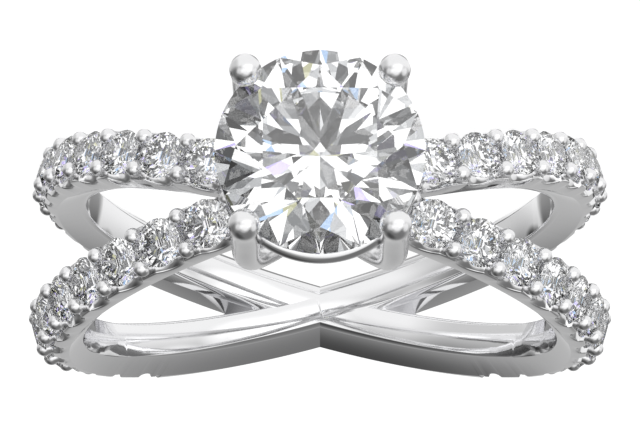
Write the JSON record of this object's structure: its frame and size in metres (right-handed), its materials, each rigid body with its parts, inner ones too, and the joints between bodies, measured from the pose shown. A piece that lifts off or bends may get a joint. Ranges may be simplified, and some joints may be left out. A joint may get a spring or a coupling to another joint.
{
  "type": "engagement ring mounting",
  "caption": "Engagement ring mounting with a crossing split shank set with accent stones, a prong basket with a rail, and a round brilliant centre stone.",
  "frame": {"origin": "middle of the finger hole, on its axis", "axes": "+Z along the finger, up as the ring lies on its side; -Y towards the head and the centre stone; +X across the ring"},
  "size_m": [0.0214, 0.0265, 0.0076],
  "materials": {
    "white_gold": "polished",
    "center_diamond": "polished facets",
    "accent_diamond": "polished facets"
  },
  "bodies": {
    "root": {"mounting": "white_gold", "center_stone": "center_diamond", "accents_upper_left": "accent_diamond", "accents_upper_right": "accent_diamond", "accents_lower_left": "accent_diamond", "accents_lower_right": "accent_diamond"}
  },
  "joints": []
}
